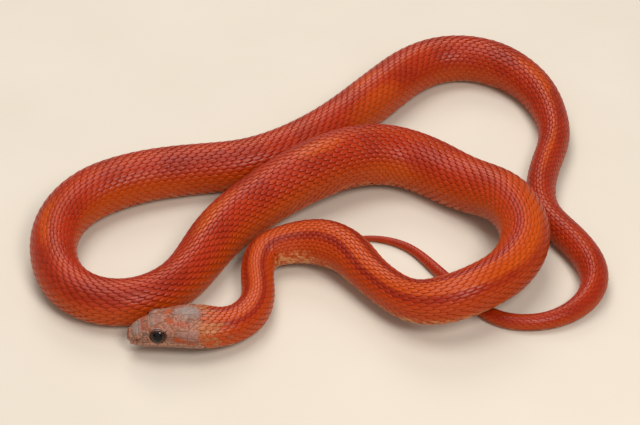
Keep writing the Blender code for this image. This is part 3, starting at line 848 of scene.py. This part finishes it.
def flat_model(name, columns, rows):
    """A flat grid, with each point's place along it from 0 to 1 and across it from -1 to 1."""
    obj = primitive("grid", name, x_subdivisions=columns, y_subdivisions=rows, size=2)
    flat = corners(obj)
    return obj, (flat[:, 0] + 1) / 2, flat[:, 1]


def close_underneath():
    """Puts one last face under the sheet that is active."""
    edit_all()
    select_open_edges()
    bpy.ops.mesh.edge_face_add()
    faces_out()


def scale_model():
    """One scale, drawn flat: x along it from 0 to 1, y across, z up; closed underneath."""
    obj, t, q = flat_model("scale_model", *SCALE_GRID)
    width = np.interp(t, *SCALE_OUTLINE)
    tip = TIP_BOW * (1 - q ** 2) * t
    height = -RISE + (RISE + 0.01) * smoothstep(0, 0.8, t) - DOME * np.abs(q) ** 2.2 * (0.4 + 0.6 * t)
    height -= TIP_DROP * smoothstep(0.84, 1.0, t)
    put_corners(obj, np.stack([t + tip, q * width, height], -1))
    close_underneath()
    rim = np.clip(np.maximum(np.abs(q) ** 1.5, 0.7 * smoothstep(0.55, 1.0, t)), 0, 1)
    return obj, np.stack([0 * rim, rim, q], -1)


def scute_model():
    """One belly scute, drawn flat like a scale but wide."""
    obj, t, q = flat_model("scute_model", 4, 18)
    bow = SCUTE_BOW * (1 - q ** 2)
    height = -RISE + (RISE + SCUTE_TOP) * smoothstep(0, 0.7, t) - SCUTE_DROP * smoothstep(0.85, 1.0, t)
    put_corners(obj, np.stack([t + bow * t, q, height], -1))
    close_underneath()
    rim = smoothstep(0.7, 1.0, t)
    return obj, np.stack([0 * rim, rim, q], -1)


def repeated_mesh(name, faces, points, total):
    """A mesh with the same faces for each copy, whose points follow each other, in mm."""
    count = len(points) // total
    sizes = np.tile([len(face) for face in faces], total)
    loops = np.concatenate([np.array(face) for face in faces])
    loops = (loops[None, :] + count * np.arange(total)[:, None]).ravel()
    mesh = bpy.data.meshes.new(name)
    mesh.vertices.add(len(points))
    mesh.loops.add(len(loops))
    mesh.polygons.add(len(sizes))
    mesh.vertices.foreach_set("co", (points * MM).ravel())
    mesh.loops.foreach_set("vertex_index", loops)
    mesh.polygons.foreach_set("loop_start", np.r_[0, np.cumsum(sizes)[:-1]])
    mesh.update(calc_edges=True)
    obj = bpy.data.objects.new(name, mesh)
    bpy.context.scene.collection.objects.link(obj)
    return obj


def patch_corners(flat, faces):
    """One copy's own patch of the map, with the last face, its underside, beside the others."""
    inside = flat[:, :2] - flat[:, :2].mean(axis=0)
    inside = inside / np.ptp(inside, axis=0).max() * PATCH
    upper = [inside[list(face)] for face in faces[:-1]]
    under = inside[list(faces[-1])] * UNDER_PATCH + (PATCH * 0.62, 0)
    return np.concatenate([*upper, under])


def copies_joined(name, model, form, spots, wrap, patches):
    """One mesh of many copies of a model, each wrapped at its own spot."""
    flat = corners(model)
    faces = [tuple(face.vertices) for face in model.data.polygons]
    points, lie = wrap(flat, spots)
    obj = repeated_mesh(name, faces, points, len(spots))
    carry(obj, "lie", lie)
    tone = spots[:, 3]
    shade = np.tile(form, (len(spots), 1))
    shade[:, 0] = np.repeat(tone, len(flat))
    carry(obj, "form", shade)
    map_for_baking(obj, patches[:, None, :] + patch_corners(flat, faces)[None])
    return obj


def wrap_scales(flat, spots):
    """Lays flat scales on the body, each coloured mostly by one place of the markings."""
    at, round_it, length, _, half_width, relief = spots.T[..., None]
    t, q, height = flat.T
    s = at + t * length
    share = np.clip(round_it + q * half_width, -0.995, 0.995)
    points = on_skin(s.ravel(), share.ravel(), (height * relief).ravel())
    own_s = OWN_TONE * (at + length * SCALE_MIDDLE) + (1 - OWN_TONE) * s
    own_share = OWN_TONE * round_it + (1 - OWN_TONE) * share
    return points, markings_at(own_s.ravel(), own_share.ravel())


def wrap_scutes(flat, spots):
    """Lays scutes across the belly, whose middle has share 1 or -1."""
    at, _, length, _, half_width, relief = spots.T[..., None]
    t, q, height = flat.T
    s = at + t * length
    off = q * half_width
    share = np.where(off < 0, -1 - off, 1 - off)
    points = on_skin(s.ravel(), share.ravel(), (height * relief).ravel())
    middle = at + length / 2 + 0 * s
    return points, np.stack([middle, share, 0 * s], -1).reshape(-1, 3)


def scale_spots(start, stop, draw):
    """Each scale of a length of the body: station, share, length, tone, half width and relief."""
    steps = np.diff(STATIONS)
    spots = []
    for k, s in enumerate(STATIONS):
        if not start <= s < stop:
            continue
        apart = BACK_SHARE / float(rows_at(s))
        length = 2 * steps[min(k, len(steps) - 1)]
        for row in range(-MOST_ROWS, MOST_ROWS + 1):
            share = row * apart + roll_at(s)
            past_edge = abs(share) > BACK_SHARE - apart / 4 or s < coat_begins(abs(share))
            if row % 2 != k % 2 or past_edge:
                continue
            v = float(section(s, turn_at(s, share))[0])
            stretch = float(np.clip(1 - float(bend_at(s)) * v, 0.6, 1.6))
            own = length * OVERLAP * stretch ** -0.35
            spots.append((s, share, own * draw.uniform(0.97, 1.03), draw.uniform(0, 1),
                          apart * SCALE_HALF_WIDTH, relief_at(s)))
    return np.array(spots)


def make_coats():
    """The small scales, in one piece for each length of the body."""
    model, form = scale_model()
    material = scale_finish("scale", 0.03)
    draw = np.random.default_rng(7)
    for name, start, stop in COATS:
        spots = scale_spots(start, stop, draw)
        patches = np.stack([(spots[:, 0] - start) / (stop - start) * 0.97 + 0.01,
                            (spots[:, 1] + 1) / 2], -1)
        piece = copies_joined("scales_" + name, model, form, spots, wrap_scales, patches)
        finish_piece(piece, material)
    bpy.data.objects.remove(model)


def make_scutes():
    """The broad scutes across the belly, from the neck to the tip of the tail."""
    model, form = scute_model()
    draw = np.random.default_rng(11)
    spots = []
    for s, following in zip(STATIONS[:-2:2], STATIONS[2::2]):
        if s < SCUTES_START:
            continue
        spots.append((s, 1.0, (following - s) * SCUTE_OVERLAP, draw.uniform(0, 1), SCUTE_HALF_WIDTH,
                      relief_at(s)))
    spots = np.array(spots)
    across, down = np.arange(len(spots)) % SCUTES_IN_A_ROW, np.arange(len(spots)) // SCUTES_IN_A_ROW
    patches = 0.02 + np.stack([across, down], -1) / SCUTES_IN_A_ROW * 0.96
    piece = copies_joined("belly_scutes", model, form, spots, wrap_scutes, patches)
    finish_piece(piece, scale_finish("belly_scale", 0.05))
    bpy.data.objects.remove(model)


EYE_OPENING = 1.96           # radius of the opening between the shields for the eye
OPENING_AT = (EYE_AT - 0.1, EYE_LEVEL + 0.05)
OPENING_UP, OPENING_DOWN = 0.90, 0.97    # how far it reaches up and down against its radius
NOSTRIL_OPENING = (0.40, 0.36)
LIP_GAP = 0.07               # from the line of the mouth to the shields on each side of it


def lip(s, above):
    """A corner at the line of the mouth, on a shield above or below it."""
    return side(s, float(mouth_level(s)) + (LIP_GAP if above else -LIP_GAP))


def side(s, level):
    """A corner seen from the side: distance from the snout and height over the underside."""
    return ("side", s, level)


def top(s, out):
    """A corner seen from above: distance from the snout and from the middle line."""
    return ("top", s, out)


def eye_arc(first, last, steps):
    """Points round the eye as seen from the side, from one angle to another in degrees."""
    points = []
    for turn in np.radians(np.linspace(first, last, steps)):
        tall = OPENING_UP if math.sin(turn) > 0 else OPENING_DOWN
        points.append(side(OPENING_AT[0] + EYE_OPENING * math.cos(turn),
                           OPENING_AT[1] + EYE_OPENING * tall * math.sin(turn)))
    return points


def nostril_arc(first, last):
    """The same round the nostril."""
    return [side(NOSTRIL_AT + NOSTRIL_OPENING[0] * math.cos(turn),
                 NOSTRIL_LEVEL + NOSTRIL_OPENING[1] * math.sin(turn))
            for turn in np.radians(np.linspace(first, last, 5))]


# Shields of one side of the head; each corner is seen from the side or from the top.
SHIELDS = {
    "internasal": [top(0.75, 0), top(0.95, 1.5), top(1.5, 2.35), top(2.35, 2.3), top(2.55, 0)],
    "prefrontal": [top(2.6, 0), top(2.4, 2.3), side(3.25, 4.55), side(4.4, 4.7), side(4.75, 5.7),
                   top(5.15, 2.1), top(5.25, 0)],
    "supraocular": [top(5.25, 2.05), side(4.85, 5.85), *eye_arc(148, 42, 9), side(9.1, 6.6),
                    top(9.55, 2.6), top(9.35, 1.65), top(7.2, 1.85)],
    "parietal": [top(10.85, 0), top(9.45, 1.7), top(9.65, 2.65), side(10.1, 6.55), side(11.6, 6.5),
                 side(13.6, 6.6), top(15.2, 3.2), top(16.9, 1.5), top(17.0, 0)],
    "prenasal": [side(0.75, 4.0), side(0.8, 3.0), side(1.8, 2.95), *nostril_arc(260, 100),
                 side(1.85, 4.6), side(1.3, 4.5)],
    "postnasal": [side(1.95, 2.95), side(3.15, 3.1), side(3.15, 4.5), side(2.5, 4.8), side(1.95, 4.6),
                  *nostril_arc(80, -80)],
    "loreal": [side(3.25, 3.15), side(4.45, 3.3), side(4.4, 4.6), side(3.3, 4.45)],
    "preocular": [side(4.5, 3.3), side(4.85, 3.2), *eye_arc(212, 152, 6), side(4.75, 5.6), side(4.45, 4.65)],
    "upper_postocular": [*eye_arc(38, 2, 5), side(10.2, 4.95), side(10.35, 6.4), side(9.2, 6.5)],
    "lower_postocular": [*eye_arc(-2, -46, 5), side(8.9, 3.0), side(10.0, 3.3), side(10.2, 4.85)],
    "upper_temporal": [side(10.3, 4.95), side(13.2, 5.0), side(13.7, 6.45), side(11.6, 6.4),
                       side(10.45, 6.4)],
    "lower_temporal": [side(10.1, 3.35), side(12.9, 3.65), side(13.2, 4.9), side(10.3, 4.85)],
    "rear_temporal_a": [side(13.3, 5.0), side(15.8, 5.1), side(16.2, 6.3), top(15.3, 3.3),
                        side(13.8, 6.5)],
    "rear_temporal_b": [side(13.05, 4.0), side(15.6, 4.2), side(15.8, 5.0), side(13.3, 4.9)],
}
UPPER_LIP_AT = [0.45, 1.8, 3.2, 4.8, 6.6, 8.7, 11.0, 13.6, 16.6]
UPPER_LIP_TOP = [2.95, 2.9, 3.05, 3.2, 2.72, 2.98, 3.3, 3.6, 4.1]
LOWER_LIP_AT = [0.35, 1.2, 2.2, 3.4, 4.8, 6.4, 8.2, 10.2, 12.4, 14.8, 17.2]
LOWER_LIP_SHARE = 0.085      # how far down the lower lip's shields reach
LIPS_AT_THE_EYE = {3: (268, 236), 4: (310, 272)}    # shields that the eye cuts into, and its arcs
# The two shields that lie across the middle of the head, by their right halves.
FRONTAL = [top(5.3, 0), top(5.3, 1.95), top(7.1, 1.75), top(9.2, 1.55), top(10.75, 0)]
ROSTRAL = [(0.62, 0.0), (0.38, 0.28), (0.05, 0.46), (-0.2, 0.50)]    # distance and share
OUTLINE_STEP = 0.30          # distance of the points along a shield's edge, mm
SHIELD_SINK = 0.34           # the foot of a shield lies this far under the level of the coat
SHIELD_FOOT, SHIELD_WALL = 0.04, 0.24    # inset of the two lowest rings, and height of the second
SHIELD_RINGS = [(0.05, 0.10, 0.29), (0.12, 0.22, 0.32), (0.24, 0.36, 0.335), (9, 0.55, 0.34),
                (9, 0.74, 0.345), (9, 0.90, 0.345)]    # inset in mm, most of the way in, height
SHIELD_BEVEL = 0.06          # height over which a shield has its seam's colour
RING_STEP = 0.1              # distance of the rings while a shield is extruded
BROW = 0.5                   # how far the shields over the eyes stand out at their outer edge
BROW_FRONT, BROW_REAR, BROW_SIDE = (4.9, 5.7), (9.6, 8.6), (0.22, 0.36)    # it rises over these
HEAD_ON_MAP = 20.0           # length that the shields' map for baking covers, mm


def outline_of(drawn):
    """Drawn corners as distance and share of the way round, on the right."""
    return [(s, share_at_level(s, value) if kind == "side" else share_at_width(s, value))
            for kind, s, value in drawn]


def both_halves(half):
    """The whole outline of a shield that lies across the middle."""
    return half + [(s, -share) for s, share in reversed(half) if share > 0]


def lip_outlines():
    """Outlines of the shields along both lips."""
    outlines = {}
    for k, (front, back) in enumerate(zip(UPPER_LIP_AT, UPPER_LIP_AT[1:])):
        drawn = [lip(s, True) for s in (front, (front + back) / 2, back)]
        drawn.append(side(back, UPPER_LIP_TOP[k + 1]))
        if k in LIPS_AT_THE_EYE:
            drawn += eye_arc(*LIPS_AT_THE_EYE[k], 4)
        drawn.append(side(front, UPPER_LIP_TOP[k]))
        outlines[f"upper_lip_{k}"] = outline_of(drawn)
    for k, (front, back) in enumerate(zip(LOWER_LIP_AT, LOWER_LIP_AT[1:])):
        edge = outline_of([lip(s, False) for s in (front, (front + back) / 2, back)])
        edge += [(back, edge[2][1] + LOWER_LIP_SHARE), (front, edge[0][1] + LOWER_LIP_SHARE)]
        outlines[f"lower_lip_{k}"] = edge
    return outlines


def smooth_outline(points):
    """The outline in mm with points close together along every edge."""
    made = []
    for first, second in zip(points, np.roll(points, -1, axis=0)):
        count = max(1, round(math.dist(first, second) / OUTLINE_STEP))
        made += [first + (second - first) * k / count for k in range(count)]
    return np.array(made)


def brow_at(s, share):
    """How far the brow stands out over the eye."""
    over_eye = smoothstep(*BROW_FRONT, s) * smoothstep(*BROW_REAR, s)
    return BROW * over_eye * smoothstep(*BROW_SIDE, np.abs(share))


def shield_blank(name, count):
    """A round face extruded ring by ring, with each point's place round it and its ring."""
    obj = primitive("circle", name, vertices=count, radius=1, fill_type="NGON")
    edit_all()
    for _ in range(len(SHIELD_RINGS) + 1):
        bpy.ops.mesh.extrude_region_move(TRANSFORM_OT_translate={"value": (0, 0, RING_STEP)})
    bpy.ops.mesh.poke()
    bpy.ops.object.mode_set(mode="OBJECT")
    made = corners(obj)
    turn = 2 * np.pi * np.arange(count) / count
    spot = np.argmax(made[:, :2] @ np.array([-np.sin(turn), np.cos(turn)]), axis=1)
    centre = np.hypot(made[:, 0], made[:, 1]) < 0.01
    return obj, spot, np.rint(made[:, 2] / RING_STEP).astype(int), centre


def shield_rings(far):
    """Inset of each ring, as a share of the way to the middle, and its height."""
    foot = SHIELD_FOOT / far
    inset, height = [foot, foot], [0.0, SHIELD_WALL]
    for most, most_share, level in SHIELD_RINGS:
        inset.append(np.maximum(inset[-1] + 0.01, np.minimum(most / far, most_share)))
        height.append(level)
    return np.array(inset), np.array(height)


def make_shield(name, outline, mirrored, tone):
    """A head shield: a flat outline extruded ring by ring to a low dome, then laid on the head."""
    outline = np.array(outline)
    way = float(half_round(max(outline[:, 0].mean(), 1.0)))
    flat = smooth_outline(outline * (1, way))
    obj, spot, ring, centre = shield_blank(name, len(flat))
    area = flat[:, 0] * np.roll(flat[:, 1], -1) - flat[:, 1] * np.roll(flat[:, 0], -1)
    if area.sum() > 0:
        flat = flat[::-1]
    middle = flat.mean(axis=0)
    from_middle = flat - middle
    inset, height = shield_rings(np.linalg.norm(from_middle, axis=1))
    laid = middle + from_middle[spot] * (1 - inset[ring, spot])[:, None]
    laid[centre] = middle
    level = height[ring]
    s, share = laid[:, 0], laid[:, 1] / way * (-1 if mirrored else 1)
    rim = np.clip((height[-1] - level) / SHIELD_BEVEL, 0, 1)
    carry(obj, "lie", np.stack([s, share, 0 * s], -1))
    carry(obj, "form", np.stack([np.full(len(s), tone), rim, 0 * s], -1))
    raised = brow_at(s, share) * (ring > 0) if name == "supraocular" else 0
    put_corners(obj, on_skin(s, share, level - SHIELD_SINK + raised) * MM)
    edit_all()
    faces_out()
    index = np.empty(len(obj.data.loops), int)
    obj.data.loops.foreach_get("vertex_index", index)
    map_for_baking(obj, np.stack([(s[index] + 0.5) / HEAD_ON_MAP, (share[index] + 1) / 2], -1))
    return obj


def make_shields():
    """All the head's shields, joined to one piece."""
    draw = np.random.default_rng(3)
    pieces = [make_shield("frontal", both_halves(outline_of(FRONTAL)), False, 0.5),
              make_shield("rostral", both_halves(ROSTRAL), False, 0.5)]
    outlines = {name: outline_of(drawn) for name, drawn in SHIELDS.items()}
    outlines.update(lip_outlines())
    for name, outline in outlines.items():
        for mirrored in (False, True):
            pieces.append(make_shield(name, outline, mirrored, draw.uniform(0.3, 0.7)))
    bpy.ops.object.select_all(action="DESELECT")
    for piece in pieces:
        piece.select_set(True)
    bpy.context.view_layer.objects.active = pieces[0]
    bpy.ops.object.join()
    shields = bpy.context.active_object
    shields.name = shields.data.name = "head_shields"
    finish_piece(shields, shield_finish())


EYEBALL_SIZE = np.array([EYE_RADIUS * 0.95, EYE_RADIUS * 0.95, EYE_DEPTH])
RIM_RADIUS, RIM_THICKNESS = 1.76, 0.15
RIM_FORWARD = 0.45           # how far the rim stands before the eye's middle, mm
RIM_STRETCH, RIM_SLOPE = 1.2, 0.25
# Where eyeball and rim take the lid's colour: heights over the eye's middle and distances before it.
LID_ON_EYEBALL = ((1.2, 1.4), (0.80, 0.66))
LID_ON_RIM = ((0.9, 1.4), (0.58, 0.40))


def turned_to(look, points):
    """Points that were drawn facing up, turned to face the way that the eye looks."""
    return points @ np.array(Vector(look).to_track_quat("Z", "Y").to_matrix()).T


def under_lid(off, look, heights, distances):
    """1 on the upper back of an eye, where a lid would cover it, and 0 elsewhere."""
    return smoothstep(*heights, off[:, 2]) * smoothstep(*distances, off @ look)


def make_eyeball(name, middle, look, material):
    eye = primitive("uv_sphere", "eyeball_" + name, segments=56, ring_count=40, radius=1)
    local = corners(eye)
    world = turned_to(look, local * EYEBALL_SIZE) + middle
    off = world - middle
    across = np.where(local[:, 2] > 0, np.hypot(local[:, 0], local[:, 1]), 1)
    back = place(EYE_AT + 1, 0, 0) - place(EYE_AT, 0, 0)
    low = smoothstep(0.1, 0.9, off @ (back * 0.7 - np.array([0, 0, 0.7])) / EYE_RADIUS)
    carry(eye, "form", np.stack([across, under_lid(off, look, *LID_ON_EYEBALL), low], -1))
    put_corners(eye, world * MM)
    finish_piece(eye, material)
    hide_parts("eye_" + name)


def make_eye_rim(name, middle, look, material):
    rim = primitive("torus", "eye_rim_" + name, major_radius=RIM_RADIUS, minor_radius=RIM_THICKNESS,
                    major_segments=72, minor_segments=14)
    ring = corners(rim)
    radial = np.hypot(ring[:, 0], ring[:, 1])
    ring[:, 2] = ring[:, 2] * RIM_STRETCH + RIM_FORWARD - RIM_SLOPE * (radial - RIM_RADIUS)
    world = turned_to(look, ring) + middle
    lid = under_lid(world - middle, look, *LID_ON_RIM)
    carry(rim, "form", np.stack([lid, 0 * lid, 0 * lid], -1))
    put_corners(rim, world * MM)
    finish_piece(rim, material)


def make_eyes():
    """Both eyeballs with the rims round them."""
    ball_material, rim_material = eye_finish(), rim_finish()
    for hand, name in ((1, "right"), (-1, "left")):
        middle, look = eye_frame(hand)
        make_eyeball(name, middle, look, ball_material)
        make_eye_rim(name, middle, look, rim_material)


FLOOR_SIZE = 2.4
WARM_WHITE = (1.0, 0.97, 0.94)
# Name, place, size and power of each lamp.
LAMPS = [("overhead_softbox", (-0.12, 0.10, 0.75), 0.5, 3.6),
         ("rear_softbox", (-0.05, 0.55, 0.50), 0.30, 1.5),
         ("small_softbox", (0.19, -0.34, 0.48), 0.20, 1.9),
         ("front_fill", (-0.1, -0.75, 0.45), 0.9, 1.3)]
WORLD_LIGHT = 0.24


def make_floor():
    floor = primitive("plane", "floor", size=FLOOR_SIZE)
    f = Finish("pale_floor", Roughness=0.8)
    f.set(Base_Color=f.mix(f.noise(30, 2), FLOOR_DARK, FLOOR_LIGHT))
    floor.data.materials.append(f.material)


def make_lamp(name, position, size, power):
    """A square lamp that shines on the middle of the part."""
    light = bpy.data.lights.new(name, "AREA")
    light.shape = "SQUARE"
    light.size, light.energy, light.color = size, power, WARM_WHITE
    lamp = bpy.data.objects.new(name, light)
    bpy.context.scene.collection.objects.link(lamp)
    lamp.location = position
    lamp.rotation_euler = (-Vector(position)).to_track_quat("-Z", "Y").to_euler()


def make_stage():
    """The floor, the lamps and the light from all round."""
    make_floor()
    for lamp in LAMPS:
        make_lamp(*lamp)
    world = bpy.data.worlds.new("studio")
    bpy.context.scene.world = world
    world.use_nodes = True
    background = world.node_tree.nodes["Background"]
    background.inputs["Color"].default_value = (*WARM_WHITE, 1)
    background.inputs["Strength"].default_value = WORLD_LIGHT
    bpy.context.scene.view_settings.view_transform = "Standard"


def make_camera():
    """The camera of the photograph."""
    data = bpy.data.cameras.new("photo_camera")
    camera = bpy.data.objects.new("photo_camera", data)
    bpy.context.scene.collection.objects.link(camera)
    ahead = Vector((0, math.cos(CAMERA_RISE), -math.sin(CAMERA_RISE)))
    camera.location = (Vector(CAMERA_TARGET) - ahead * CAMERA_DISTANCE) * MM
    camera.rotation_euler = ahead.to_track_quat("-Z", "Y").to_euler()
    data.sensor_width = SENSOR_WIDTH
    data.lens = SENSOR_WIDTH * CAMERA_DISTANCE / (PIXEL_PITCH * PICTURE_WIDTH)
    data.clip_start = 0.01
    bpy.context.scene.camera = camera


make_camera()
make_stage()
make_skin()
make_coats()
make_scutes()
make_shields()
make_eyes()
